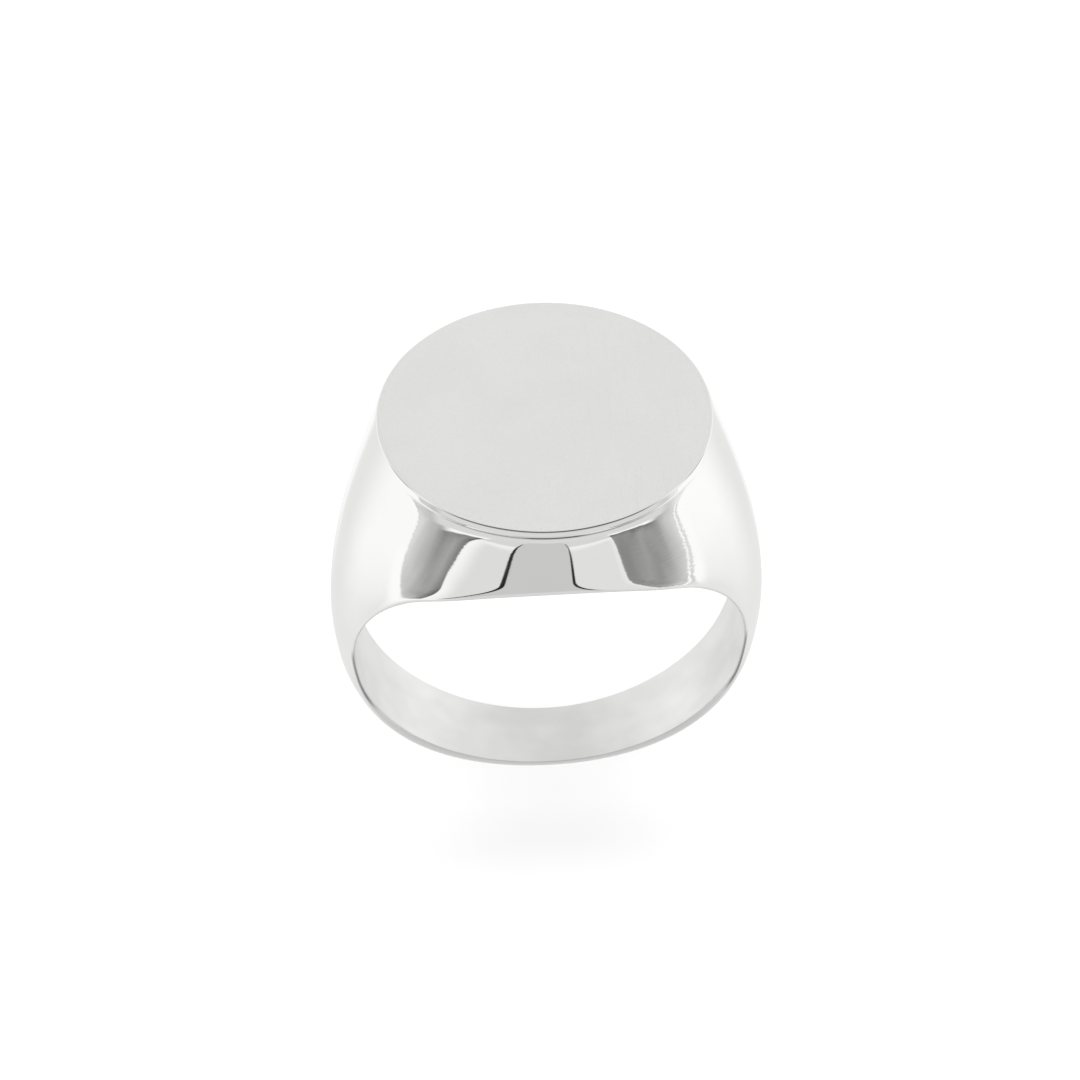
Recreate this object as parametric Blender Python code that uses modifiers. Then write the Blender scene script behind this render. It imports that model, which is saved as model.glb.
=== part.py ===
"""A round-topped signet ring, put together as a goldsmith builds a hollow one.

The finger hole runs along Y with its centre at the origin, and +Z points up through the flat table.
One smooth outer form is lofted first. Seven pieces are then cut from it at the solder seams:
the table plate, a front and a back wall, two shoulders, the liner that closes the hollow head on
the finger side, and the shank. Run it with: blender --background --python part.py
"""

import math

import bmesh
import bpy
import numpy as np

MM = 0.001

# Driving dimensions, in millimetres and degrees.
BORE_RADIUS = 9.5
TABLE_RADIUS = 7.7
TABLE_HEIGHT = 13.7
# Angles about the finger hole run from -90 at the bottom of the shank to 90 under the middle of the table.
SHANK_ANGLE = -90.0
RIDGE_ANGLE = 40.0  # where the ridge between wall and shoulder reaches the finger hole
RIDGE_PLAN_ANGLE = 38.5  # where the same ridge reaches the table's edge, seen from above
SHOULDER_LEAN = 20.0  # slope of the shoulder away from upright where it meets the table

# Half the ring's width along the finger, measured at the finger hole, from the shank round to the head.
HALF_WIDTHS = {SHANK_ANGLE: 1.8, -45.0: 2.0, 0.0: 2.6, RIDGE_ANGLE: 5.05, 65.0: 6.9, 90.0: TABLE_RADIUS}
# Distance of the outer surface from the centre of the finger hole, along the middle of the ring.
OUTER_RADII = {SHANK_ANGLE: 10.5, -45.0: 10.7, 0.0: 10.55, RIDGE_ANGLE: 12.5}
# How far round an ellipse the cross-section runs from its middle to its edge: 90 is a full half-round.
ROUNDING_ANGLES = {SHANK_ANGLE: 90.0, 0.0: 85.0, RIDGE_ANGLE: 70.0}

GIRDLE_HEIGHT = 0.4  # upright rim of the table, seen above the front and back walls
COVE_DEPTH = 0.15  # how far those walls step in below the rim
COVE_FADE = 30.0  # plan angle over which the step dies away towards the ridge
COVE_LENGTH = 0.3  # drop below the rim over which most of the step is taken

SOLDER_GAP = 0.04
SHANK_SEAM_ANGLE = -24.0
WALL_THICKNESS = 1.4
CAVITY_HALF_LENGTH = 7.6  # the hollow is an ellipse seen from above
LINER_THICKNESS = 0.8
REGISTER_DEPTH = 0.6  # boss under the table plate that drops between the walls

SHANK_STATIONS = 40
RIDGE_STATIONS = 12
CROWN_STEPS = 8
WALL_COLUMNS = 12
ROUND_SEGMENTS = 128
SMOOTH_ANGLE = 30.0  # faces that meet at less than this are shaded as one surface
WELD = 1e-6  # metres
FAR = 30.0  # reach of the cutters, well outside the ring
SEAM_FLOOR = 4.0  # height at which the head's seam cutters end, inside the finger hole
SEAM_START = 7.0  # distance from the hole's centre at which the shank's seam cutters start

RING_COLLECTION = "signet_ring"
CUTTER_COLLECTION = "cutters"


def clear_scene():
    for obj in list(bpy.data.objects):
        bpy.data.objects.remove(obj, do_unlink=True)


def new_collection(name, hidden=False):
    collection = bpy.data.collections.new(name)
    bpy.context.scene.collection.children.link(collection)
    collection.hide_render = hidden
    return collection


def silver(name, color, roughness):
    material = bpy.data.materials.new(name)
    material.use_nodes = True
    shader = material.node_tree.nodes["Principled BSDF"]
    shader.inputs["Base Color"].default_value = (*color, 1.0)
    shader.inputs["Metallic"].default_value = 1.0
    shader.inputs["Roughness"].default_value = roughness
    return material


def polished_silver(name):
    return silver(name, (0.93, 0.93, 0.91), 0.08)


def satin_silver(name):
    return silver(name, (0.86, 0.86, 0.84), 0.45)


def brushed_silver(name):
    return silver(name, (0.88, 0.88, 0.86), 0.3)


def clamped_spline(values_at, start_slope=0.0, end_slope=0.0):
    """A smooth curve through {degrees: value}, with its end slopes given per degree."""
    x = np.array(list(values_at), float)
    y = np.array(list(values_at.values()), float)
    step = np.diff(x)
    rise = np.diff(y) / step
    count = len(x)
    matrix = np.zeros((count, count))
    right = np.zeros(count)
    matrix[0, :2] = 2 * step[0], step[0]
    matrix[-1, -2:] = step[-1], 2 * step[-1]
    right[0] = 6 * (rise[0] - start_slope)
    right[-1] = 6 * (end_slope - rise[-1])
    for i in range(1, count - 1):
        matrix[i, i - 1 : i + 2] = step[i - 1], 2 * (step[i - 1] + step[i]), step[i]
        right[i] = 6 * (rise[i] - rise[i - 1])
    bend = np.linalg.solve(matrix, right)

    def value(at):
        i = int(np.clip(np.searchsorted(x, at) - 1, 0, count - 2))
        ahead, behind = x[i + 1] - at, at - x[i]
        cubic = (bend[i] * ahead**3 + bend[i + 1] * behind**3) / (6 * step[i])
        left = (y[i] / step[i] - bend[i] * step[i] / 6) * ahead
        return cubic + left + (y[i + 1] / step[i] - bend[i + 1] * step[i] / 6) * behind

    return value


def polar(radius, degrees):
    """(x, z) of a point about the finger hole."""
    return np.array([radius * math.cos(math.radians(degrees)), radius * math.sin(math.radians(degrees))])


def table_edge(plan_degrees):
    angle = math.radians(plan_degrees)
    return np.array([TABLE_RADIUS * math.cos(angle), -TABLE_RADIUS * math.sin(angle), TABLE_HEIGHT])


def middle_line():
    """The outer radius against angle, from the shank's bottom to the table's side edge."""
    top_angle = math.degrees(math.atan2(TABLE_HEIGHT, TABLE_RADIUS))
    top_radius = math.hypot(TABLE_HEIGHT, TABLE_RADIUS)
    outward = np.array([math.cos(math.radians(top_angle)), math.sin(math.radians(top_angle))])
    around = np.array([-outward[1], outward[0]])
    lean = math.radians(SHOULDER_LEAN)
    tangent = np.array([-math.sin(lean), math.cos(lean)])
    slope = top_radius * (tangent @ outward) / (tangent @ around)
    radii = {**OUTER_RADII, top_angle: top_radius}
    return clamped_spline(radii, end_slope=math.radians(slope)), top_angle


HALF_WIDTH = clamped_spline(HALF_WIDTHS)
ROUNDING = clamped_spline(ROUNDING_ANGLES)
OUTER_RADIUS, TABLE_SIDE_ANGLE = middle_line()
# Where the rows of the wall and of the shoulder meet on the ridge, from the finger hole to the table.
RIM_SHARE = 1.0 - GIRDLE_HEIGHT / (TABLE_HEIGHT - BORE_RADIUS)
RIDGE_SHARES = [*np.linspace(0.0, RIM_SHARE, RIDGE_STATIONS), 1.0]


def bore_edge(degrees):
    x, z = polar(BORE_RADIUS, degrees)
    return np.array([x, -HALF_WIDTH(degrees), z])


def ridge(share):
    """From the finger hole (0) to the table's edge (1)."""
    return bore_edge(RIDGE_ANGLE) * (1 - share) + table_edge(RIDGE_PLAN_ANGLE) * share


def crown(middle, edge, rounding):
    """Points of one cross-section, from its middle to its edge, along an ellipse."""
    points = []
    full = math.radians(rounding)
    for angle in np.linspace(0.0, full, CROWN_STEPS + 1):
        drop = (1 - math.cos(angle)) / (1 - math.cos(full))
        across = math.sin(angle) / math.sin(full)
        x = middle[0] + (edge[0] - middle[0]) * drop
        z = middle[1] + (edge[2] - middle[1]) * drop
        points.append((x, edge[1] * across, z))
    return points


def shoulder_rows():
    """Cross-sections of a quarter of the band, from the bottom of the shank up to the table."""
    rows = []
    for angle in np.linspace(SHANK_ANGLE, RIDGE_ANGLE, SHANK_STATIONS + 1):
        rows.append(crown(polar(OUTER_RADIUS(angle), angle), bore_edge(angle), ROUNDING(angle)))
    for share in RIDGE_SHARES[1:]:
        angle = RIDGE_ANGLE + (TABLE_SIDE_ANGLE - RIDGE_ANGLE) * share
        rounding = ROUNDING(RIDGE_ANGLE) * (1 - share) + RIDGE_PLAN_ANGLE * share
        rows.append(crown(polar(OUTER_RADIUS(angle), angle), ridge(share), rounding))
    return rows


def cove(depth_below_table, plan_degrees):
    """How far a wall stands in from the rim at this depth below the table."""
    below = max(depth_below_table - GIRDLE_HEIGHT, 0.0)
    step_in = 1 - math.exp(-((below / COVE_LENGTH) ** 2))
    fade = min((plan_degrees - RIDGE_PLAN_ANGLE) / COVE_FADE, 1.0)
    return COVE_DEPTH * step_in * fade * fade * (3 - 2 * fade)


def wall_rows():
    """A quarter of the front wall, from the table's edge down to the finger hole."""
    rows = []
    for share in RIDGE_SHARES[::-1]:
        row = []
        for column in np.linspace(0.0, 1.0, WALL_COLUMNS + 1):
            plan = RIDGE_PLAN_ANGLE + (90.0 - RIDGE_PLAN_ANGLE) * column
            foot = bore_edge(RIDGE_ANGLE + (90.0 - RIDGE_ANGLE) * column)
            point = table_edge(plan) * share + foot * (1 - share)
            point[1] += cove(TABLE_HEIGHT - point[2], plan) * share
            row.append(tuple(point))
        rows.append(row)
    return rows


def add_grid(bm, rows):
    """A sheet of quads through rows of points."""
    grid = [[bm.verts.new(np.array(point) * MM) for point in row] for row in rows]
    for low, high in zip(grid, grid[1:]):
        for i in range(len(low) - 1):
            bm.faces.new((low[i], low[i + 1], high[i + 1], high[i]))


def outer_form(cutters):
    """The whole ring as one closed form, mirrored from a quarter. The pieces are cut from it."""
    bm = bmesh.new()
    band = shoulder_rows()
    wall = wall_rows()
    add_grid(bm, band)
    add_grid(bm, wall)
    table = [(0.0, 0.0, TABLE_HEIGHT), *band[-1], *wall[0][1:]]
    bm.faces.new([bm.verts.new(np.array(point) * MM) for point in table])
    hole_edge = [row[-1] for row in band[: SHANK_STATIONS + 1]] + wall[-1][1:]
    hole_middle = [(x, 0.0, z) for x, y, z in hole_edge]
    add_grid(bm, [hole_edge, hole_middle])
    bmesh.ops.remove_doubles(bm, verts=bm.verts, dist=WELD)
    mesh = bpy.data.meshes.new("quarter")
    bm.to_mesh(mesh)
    bm.free()
    quarter = bpy.data.objects.new("quarter", mesh)
    cutters.objects.link(quarter)
    mirror = quarter.modifiers.new("mirror", "MIRROR")
    mirror.use_axis = (True, True, False)
    mirror.merge_threshold = WELD
    whole = evaluated_mesh(quarter, "outer_form")
    bpy.data.objects.remove(quarter)
    bm = bmesh.new()
    bm.from_mesh(whole)
    bmesh.ops.recalc_face_normals(bm, faces=bm.faces)
    bm.to_mesh(whole)
    bm.free()
    return whole


def evaluated_mesh(obj, name):
    bpy.context.view_layer.update()
    mesh = bpy.data.meshes.new_from_object(obj.evaluated_get(bpy.context.evaluated_depsgraph_get()))
    mesh.name = name
    return mesh


def add_cutter(cutters, name, bm):
    mesh = bpy.data.meshes.new(name)
    bmesh.ops.recalc_face_normals(bm, faces=bm.faces)
    bm.to_mesh(mesh)
    bm.free()
    obj = bpy.data.objects.new(name, mesh)
    obj.hide_render = True
    obj.display_type = "WIRE"
    cutters.objects.link(obj)
    return obj


def prism(cutters, name, outline, near, far):
    """A flat (x, z) outline run along Y from near to far."""
    bm = bmesh.new()
    face = bm.faces.new([bm.verts.new((x * MM, near * MM, z * MM)) for x, z in outline])
    grown = bmesh.ops.extrude_face_region(bm, geom=[face])["geom"]
    moved = [item for item in grown if isinstance(item, bmesh.types.BMVert)]
    bmesh.ops.translate(bm, verts=moved, vec=(0.0, (far - near) * MM, 0.0))
    return add_cutter(cutters, name, bm)


def cylinder(cutters, name, half_length, half_width, low, high):
    """An upright cylinder with an elliptical plan."""
    bm = bmesh.new()
    bmesh.ops.create_cone(
        bm, cap_ends=True, segments=ROUND_SEGMENTS, radius1=1.0, radius2=1.0, depth=(high - low) * MM
    )
    bmesh.ops.scale(bm, verts=bm.verts, vec=(half_length * MM, half_width * MM, 1.0))
    bmesh.ops.translate(bm, verts=bm.verts, vec=(0.0, 0.0, (low + high) / 2 * MM))
    return add_cutter(cutters, name, bm)


def bore_cylinder(cutters, name, radius):
    """A cylinder about the finger hole's axis."""
    cutter = cylinder(cutters, name, radius, radius, -FAR / 2, FAR / 2)
    cutter.rotation_euler = (math.radians(90.0), 0.0, 0.0)
    return cutter


def cut(obj, operation, *cutters):
    for cutter in cutters:
        modifier = obj.modifiers.new(f"{operation.lower()}_{cutter.name}", "BOOLEAN")
        modifier.operation = operation
        modifier.object = cutter


def head_seam(height):
    """Distance from the middle plane of the seam between a shoulder and the head, at this height."""
    top, foot = table_edge(RIDGE_PLAN_ANGLE), bore_edge(RIDGE_ANGLE)
    return foot[0] + (top[0] - foot[0]) * (height - foot[2]) / (top[2] - foot[2])


def head_outline():
    """The head between its two shoulder seams, seen from the front, below the table plate."""
    half_gap = SOLDER_GAP / 2
    top = TABLE_HEIGHT - GIRDLE_HEIGHT - half_gap
    wide = head_seam(SEAM_FLOOR) - half_gap
    narrow = head_seam(top) - half_gap
    return [(-wide, SEAM_FLOOR), (wide, SEAM_FLOOR), (narrow, top), (-narrow, top)]


def shank_seam(distance, side):
    """A point on the seam between shank and shoulder, moved half the gap up (1) or down (-1)."""
    x, z = polar(distance, SHANK_SEAM_ANGLE)
    return x, z + side * SOLDER_GAP / 2 / math.cos(math.radians(SHANK_SEAM_ANGLE))


def shoulder_outline(side):
    """The shoulder on one side, seen from the front, from the shank's seam up to the table plate."""
    half_gap = SOLDER_GAP / 2
    top = TABLE_HEIGHT - GIRDLE_HEIGHT - half_gap
    points = [
        (head_seam(SEAM_FLOOR) + half_gap, SEAM_FLOOR),
        (head_seam(top) + half_gap, top),
        (FAR, top),
        shank_seam(FAR, 1),
        shank_seam(SEAM_START, 1),
    ]
    return [(side * x, z) for x, z in points]


def shank_outline():
    """Everything below the two shank seams, seen from the front."""
    middle_z = shank_seam(0.0, -1)[1]
    x, z = shank_seam(FAR, -1)
    return [(0.0, middle_z), (x, z), (FAR, -FAR), (-FAR, -FAR), (-x, z)]


def add_piece(ring, name, mesh, material):
    data = mesh.copy()
    data.name = name
    data.materials.clear()
    data.materials.append(material)
    obj = bpy.data.objects.new(name, data)
    ring.objects.link(obj)
    return obj


def smooth_rounds(obj):
    """Smooth shading, with the seams and edges left crisp."""
    obj.data.shade_smooth()
    obj.data.set_sharp_from_angle(angle=math.radians(SMOOTH_ANGLE))


def table_plate(ring, cutters, form, cavity_half_width):
    """The flat top with its rim, and the boss below it that drops between the walls."""
    seam = TABLE_HEIGHT - GIRDLE_HEIGHT + SOLDER_GAP / 2
    upper = [(-FAR, seam), (FAR, seam), (FAR, FAR), (-FAR, FAR)]
    above = prism(cutters, "above_plate_seam", upper, -FAR, FAR)
    register = cylinder(
        cutters,
        "plate_register",
        CAVITY_HALF_LENGTH - SOLDER_GAP,
        cavity_half_width - SOLDER_GAP,
        seam - SOLDER_GAP - REGISTER_DEPTH,
        seam + GIRDLE_HEIGHT / 2,
    )
    narrow = head_seam(TABLE_HEIGHT) - SOLDER_GAP
    middle = [(-narrow, 0.0), (narrow, 0.0), (narrow, FAR), (-narrow, FAR)]
    cut(register, "INTERSECT", prism(cutters, "plate_register_sides", middle, -FAR, FAR))
    plate = add_piece(ring, "table_plate", form, satin_silver("satin_table"))
    cut(plate, "INTERSECT", above)
    cut(plate, "UNION", register)
    return plate


def head_wall(ring, cutters, form, cavity, name, side):
    """The upright wall on one side of the hollow head: -1 is the front one."""
    near, far = sorted((0.0, side * FAR))
    wall = add_piece(ring, name, form, polished_silver(f"polished_{name}"))
    cut(wall, "INTERSECT", prism(cutters, f"{name}_region", head_outline(), near, far))
    cut(wall, "DIFFERENCE", cavity)
    return wall


def shoulder(ring, cutters, form, name, side):
    piece = add_piece(ring, name, form, polished_silver(f"polished_{name}"))
    cut(piece, "INTERSECT", prism(cutters, f"{name}_region", shoulder_outline(side), -FAR, FAR))
    return piece


def inner_liner(ring, cutters, form, cavity_half_width):
    """The curved sheet that closes the hollow head on the finger side."""
    half_length, half_width = CAVITY_HALF_LENGTH - SOLDER_GAP, cavity_half_width - SOLDER_GAP
    between_walls = cylinder(cutters, "liner_plan", half_length, half_width, 0.0, TABLE_HEIGHT)
    back = bore_cylinder(cutters, "liner_back", BORE_RADIUS + LINER_THICKNESS)
    sides = prism(cutters, "liner_ends", head_outline(), -FAR, FAR)
    liner = add_piece(ring, "inner_liner", form, brushed_silver("brushed_liner"))
    cut(liner, "INTERSECT", sides, between_walls, back)
    return liner


def shank(ring, cutters, form):
    band = add_piece(ring, "shank", form, polished_silver("polished_shank"))
    cut(band, "INTERSECT", prism(cutters, "shank_region", shank_outline(), -FAR, FAR))
    return band


def build():
    clear_scene()
    ring = new_collection(RING_COLLECTION)
    cutters = new_collection(CUTTER_COLLECTION, hidden=True)
    form = outer_form(cutters)
    cavity_half_width = TABLE_RADIUS - WALL_THICKNESS
    cavity = cylinder(cutters, "head_cavity", CAVITY_HALF_LENGTH, cavity_half_width, 0.0, FAR)
    pieces = [
        table_plate(ring, cutters, form, cavity_half_width),
        head_wall(ring, cutters, form, cavity, "front_wall", -1),
        head_wall(ring, cutters, form, cavity, "back_wall", 1),
        shoulder(ring, cutters, form, "left_shoulder", -1),
        shoulder(ring, cutters, form, "right_shoulder", 1),
        inner_liner(ring, cutters, form, cavity_half_width),
        shank(ring, cutters, form),
    ]
    for piece in pieces:
        smooth_rounds(piece)
    bpy.data.meshes.remove(form)


build()
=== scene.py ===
"""The looks of the hollow signet ring: one fine mirror-smooth form, cut at the solder seams."""

import math

import bmesh
import bpy
import numpy as np
from mathutils import Matrix, Vector


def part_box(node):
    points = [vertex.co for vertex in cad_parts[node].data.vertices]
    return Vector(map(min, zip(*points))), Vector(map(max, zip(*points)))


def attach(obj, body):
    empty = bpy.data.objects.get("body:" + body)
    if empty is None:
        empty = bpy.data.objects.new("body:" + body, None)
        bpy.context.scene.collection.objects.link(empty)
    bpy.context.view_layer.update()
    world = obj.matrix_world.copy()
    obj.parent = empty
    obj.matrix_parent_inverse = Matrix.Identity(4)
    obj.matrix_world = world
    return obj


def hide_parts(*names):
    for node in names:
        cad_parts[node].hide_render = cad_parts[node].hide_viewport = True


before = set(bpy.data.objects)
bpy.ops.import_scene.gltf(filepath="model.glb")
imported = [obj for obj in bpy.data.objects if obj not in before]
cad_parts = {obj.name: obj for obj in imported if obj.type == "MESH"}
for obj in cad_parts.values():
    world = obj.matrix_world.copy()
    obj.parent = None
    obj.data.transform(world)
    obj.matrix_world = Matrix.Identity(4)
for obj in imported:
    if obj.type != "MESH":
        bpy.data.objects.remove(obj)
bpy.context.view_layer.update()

# Lengths are in millimetres and angles in degrees, unless a comment says otherwise.
MM = 0.001
TABLE_TOP = Vector(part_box("table_plate")[1]) / MM
TABLE_RADIUS = TABLE_TOP.y
TABLE_HEIGHT = TABLE_TOP.z
BORE_RADIUS = 9.5

# Angles about the finger hole run from -90 at the bottom of the shank to 90 under the middle of the table.
MIDDLE_RADII = {-90.0: 10.38, -45.0: 10.54, 0.0: 10.55}  # outer surface of the shank, along its middle
HALF_WIDTHS = {-90.0: 1.8, -45.0: 2.0, 0.0: 2.6, 40.0: 5.05, 65.0: 6.9, 90.0: 7.7}
# The shank's cross-section is a dome between two flat sides.
DOME_DEPTHS = {-90.0: 4.0, -45.0: 4.6, 0.0: 10.55}
DOME_WIDTHS = {-90.0: 4.0, -45.0: 4.6, 0.0: 6.0}
SIDE_OFFSETS = {-90.0: 0.02, -45.0: 0.05, 0.0: 0.6}
SIDE_ROUNDING = 0.55
SHANK_LAST = 5.0  # past this angle the shank's sections no longer change
# The head's level sections are ellipses, and a circle at the table: half lengths and widths by height.
HEAD_LENGTHS = {-4.0: 9.767, 0.0: 10.55, 4.0: 10.387, 8.0: 9.585, 12.0: 8.302, 13.7: TABLE_RADIUS}
HEAD_WIDTHS = {-4.0: 4.9, 0.0: 6.03, 3.25: 6.97, 6.1: 7.45, 8.6: 7.66, 11.2: 7.7, 13.7: TABLE_RADIUS}
SHOULDER_LEAN = 20.0  # of the shoulders at the table, from upright
HEAD_START, HEAD_FULL = -3.5, 0.5  # heights between which the shank's sections turn into the head's
HEAD_LOWEST = -4.0  # below this height the head's sections no longer change

TABLE_ROUNDING = 0.12
HOLE_ROUNDINGS = {-90.0: 0.02, -50.0: 0.03, -35.0: 0.2, -20.0: 0.42, 0.0: 0.42}
WALL_FOOT_ROUNDING = 1.2
WALL_START, WALL_FULL = 1.0, 8.0  # heights between which the hole's edge turns into the foot of a wall
LIP = 0.24  # how far the head's walls hang into the finger hole at their feet
LIP_START, LIP_FULL = 5.0, 7.0  # distances from the middle line
GIRDLE_HEIGHT = 0.44
GIRDLE_TAPER = 0.09
# Below the table plate's seam the front and back stand in a little, sharply at first and then slowly.
GROOVE_DEPTH = 0.12
GROOVE_ABOVE, GROOVE_SHARP, GROOVE_SLOW = 0.08, 0.2, 0.7
GROOVE_SHARP_SHARE = 0.6
GROOVE_START, GROOVE_FULL = 28.0, 44.0  # plan angles between which it deepens, away from the shoulders

# Where the seam between a shoulder and the head meets the finger hole's edge and the table's edge.
FOOT_ANGLE = 40.0
HEAD_PLAN_ANGLE = 38.5

# The mesh of a quarter.
SHANK_ARC, HEAD_ARC = 85.0, 60.0  # how far a row of points bends, in degrees
KNEE_HEIGHT = 12.7  # above it the rows run level
FOOT_LIFT = 2.0  # how much higher a row stands on the middle line than at the hole
SHANK_ROWS, FOOT_ROWS, HEAD_ROWS, SEAM_ROWS, RIM_ROWS = 90, 44, 48, 14, 16
BAND_COLUMNS, WALL_COLUMNS, TABLE_RINGS, HOLE_COLUMNS = 40, 60, 28, 22
TABLE_MIDDLE = 0.005  # share of the table's radius left open in the middle, and then filled
SETTLE_ROUNDS = 12
LONGEST_MOVE = 0.3  # of a point, in one round, for each unit of slope
LEAST_STEEPNESS = 0.05  # slope squared
QUARTER_WELD, CUT_WELD = 2e-7, 3e-7  # metres

SEAM_GAP = 0.0002
SHANK_SEAM_ANGLE = -24.0
WALL_THICKNESS = 1.4
CAVITY_HALF_LENGTH = 7.6
LINER_THICKNESS = 0.8
REGISTER_DEPTH = 0.6
FAR = 30.0  # beyond every side of the ring
SEAM_FLOOR = 4.0  # height in the finger hole where the shapes that cut out the head begin
SEAM_START = 7.0  # distance from the hole's axis where the seams of the shank begin
ROUND_SEGMENTS = 256

# A face belongs to the outer form where it lies this near to it and faces this much the same way.
SURFACE_TOLERANCE = 0.02
LEAST_FACING = 0.3


def clamped_spline(values_at, start_slope=0.0, end_slope=0.0):
    """A smooth curve through {position: value} with given end slopes, for arrays."""
    x = np.array(list(values_at), float)
    y = np.array(list(values_at.values()), float)
    step = np.diff(x)
    rise = np.diff(y) / step
    count = len(x)
    matrix = np.zeros((count, count))
    right = np.zeros(count)
    matrix[0, :2] = 2 * step[0], step[0]
    matrix[-1, -2:] = step[-1], 2 * step[-1]
    right[0] = 6 * (rise[0] - start_slope)
    right[-1] = 6 * (end_slope - rise[-1])
    for i in range(1, count - 1):
        matrix[i, i - 1 : i + 2] = step[i - 1], 2 * (step[i - 1] + step[i]), step[i]
        right[i] = 6 * (rise[i] - rise[i - 1])
    bend = np.linalg.solve(matrix, right)

    def value(at):
        i = np.clip(np.searchsorted(x, at) - 1, 0, count - 2)
        ahead, behind, span = x[i + 1] - at, at - x[i], step[i]
        cubic = (bend[i] * ahead**3 + bend[i + 1] * behind**3) / (6 * span)
        left = (y[i] / span - bend[i] * span / 6) * ahead
        return cubic + left + (y[i + 1] / span - bend[i + 1] * span / 6) * behind

    return value


MIDDLE_RADIUS = clamped_spline(MIDDLE_RADII)
HALF_WIDTH = clamped_spline(HALF_WIDTHS)
DOME_DEPTH = clamped_spline(DOME_DEPTHS, end_slope=0.15)
DOME_WIDTH = clamped_spline(DOME_WIDTHS, end_slope=0.05)
SIDE_OFFSET = clamped_spline(SIDE_OFFSETS, end_slope=0.02)
SHOULDER_SLOPE = -math.tan(math.radians(SHOULDER_LEAN))
HEAD_LENGTH = clamped_spline(HEAD_LENGTHS, start_slope=0.36, end_slope=SHOULDER_SLOPE)
HEAD_WIDTH = clamped_spline(HEAD_WIDTHS, start_slope=0.28)
HOLE_ROUNDING = clamped_spline(HOLE_ROUNDINGS)


# The outer form is where a signed distance-like value is nought. All of these take arrays in millimetres.


def smooth_step(low, high, value):
    """Turns from 0 at low to 1 at high, with no kink in its slope or its bend."""
    share = np.clip((value - low) / (high - low), 0.0, 1.0)
    return share**3 * (10 - 15 * share + 6 * share**2)


def smooth_max(a, b, rounding):
    """The greater of two values, blended where they differ by less than the rounding."""
    near = np.maximum(rounding - np.abs(a - b), 0.0) / rounding
    return np.maximum(a, b) + near**3 * rounding / 6


def shank_form(x, y, z):
    radius = np.hypot(x, z)
    angle = np.clip(np.degrees(np.arctan2(z, np.abs(x))), -90.0, SHANK_LAST)
    depth, width = DOME_DEPTH(angle), DOME_WIDTH(angle)
    inward = (radius - MIDDLE_RADIUS(angle)) / depth + 1
    across = y / width
    reach = np.hypot(inward, across)
    dome = (reach - 1) * reach / np.hypot(inward / depth, across / width)
    sides = np.abs(y) - HALF_WIDTH(angle) - SIDE_OFFSET(angle)
    return smooth_max(dome, sides, SIDE_ROUNDING)


def groove(x, y, z):
    """How far the front and back of the head stand in, beside the table plate's seam and above it."""
    above = z - (TABLE_HEIGHT - GIRDLE_HEIGHT)
    below, up = -np.minimum(above, 0.0), np.maximum(above, 0.0)
    sharp, slow = np.exp(-below / GROOVE_SHARP), np.exp(-below / GROOVE_SLOW)
    fading = GROOVE_SHARP_SHARE * sharp + (1 - GROOVE_SHARP_SHARE) * slow
    depth = GROOVE_DEPTH * np.where(above > 0, np.exp(-((up / GROOVE_ABOVE) ** 2)), fading)
    plan = np.degrees(np.arctan2(np.abs(y), np.abs(x)))
    return (depth + GIRDLE_TAPER * up / GIRDLE_HEIGHT) * smooth_step(GROOVE_START, GROOVE_FULL, plan)


def head_form(x, y, z):
    height = np.clip(z, HEAD_LOWEST, TABLE_HEIGHT + 1.0)
    length, width = HEAD_LENGTH(height), HEAD_WIDTH(height) - groove(x, y, z)
    along, across = x / length, y / width
    reach = np.hypot(along, across)
    return (reach - 1) * reach / np.hypot(along / length, across / width)


def ring_form(points):
    """Negative inside the metal, positive outside."""
    x, y, z = points.T
    head = smooth_step(HEAD_START, HEAD_FULL, z)
    outer = shank_form(x, y, z) * (1 - head) + head_form(x, y, z) * head
    capped = smooth_max(outer, z - TABLE_HEIGHT, TABLE_ROUNDING)
    wall = smooth_step(WALL_START, WALL_FULL, z)
    low = HOLE_ROUNDING(np.clip(np.degrees(np.arctan2(z, np.abs(x))), -90.0, 0.0))
    rounding = low + (WALL_FOOT_ROUNDING - low) * wall
    lip = LIP * wall * smooth_step(LIP_START, LIP_FULL, np.abs(y))
    return smooth_max(capped, BORE_RADIUS - lip - np.hypot(x, z), rounding)


def form_gradient(points):
    step = 1e-4
    slopes = []
    for axis in np.eye(3) * step:
        slopes.append((ring_form(points + axis) - ring_form(points - axis)) / (2 * step))
    return np.array(slopes).T


def settle(points):
    """Moves each point along the slope until it lies on the form's surface, but level beside the seam."""
    points = np.array(points, float)
    level = (points[:, 2] > KNEE_HEIGHT) & (points[:, 2] < TABLE_HEIGHT - TABLE_ROUNDING)
    for _ in range(SETTLE_ROUNDS):
        slope = form_gradient(points)
        slope[level, 2] = 0.0
        steepness = np.maximum((slope**2).sum(axis=1), LEAST_STEEPNESS)
        move = ring_form(points) / steepness
        points -= slope * np.clip(move, -LONGEST_MOVE, LONGEST_MOVE)[:, None]
    return points


# The mesh of one quarter: a band, a wall, the table and half of the finger hole.


def crowded(count, at_start=0.0, at_end=0.0):
    """Shares from 0 to 1, closer together by these amounts at either end."""
    even = np.linspace(0.0, 1.0, count + 1)
    bend = np.sin(np.pi * even) / np.pi
    return even - at_start * bend * (1 - even) + at_end * bend * even


def polar(radius, degrees):
    angle = np.radians(degrees)
    return np.array([radius * np.cos(angle), radius * np.sin(angle)])


def hole_edge(degrees):
    x, z = polar(BORE_RADIUS, degrees)
    return np.array([x, -float(HALF_WIDTH(degrees)), z])


def table_edge(plan_degrees):
    x, y = polar(TABLE_RADIUS, plan_degrees)
    return np.array([x, -y, TABLE_HEIGHT])


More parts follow.
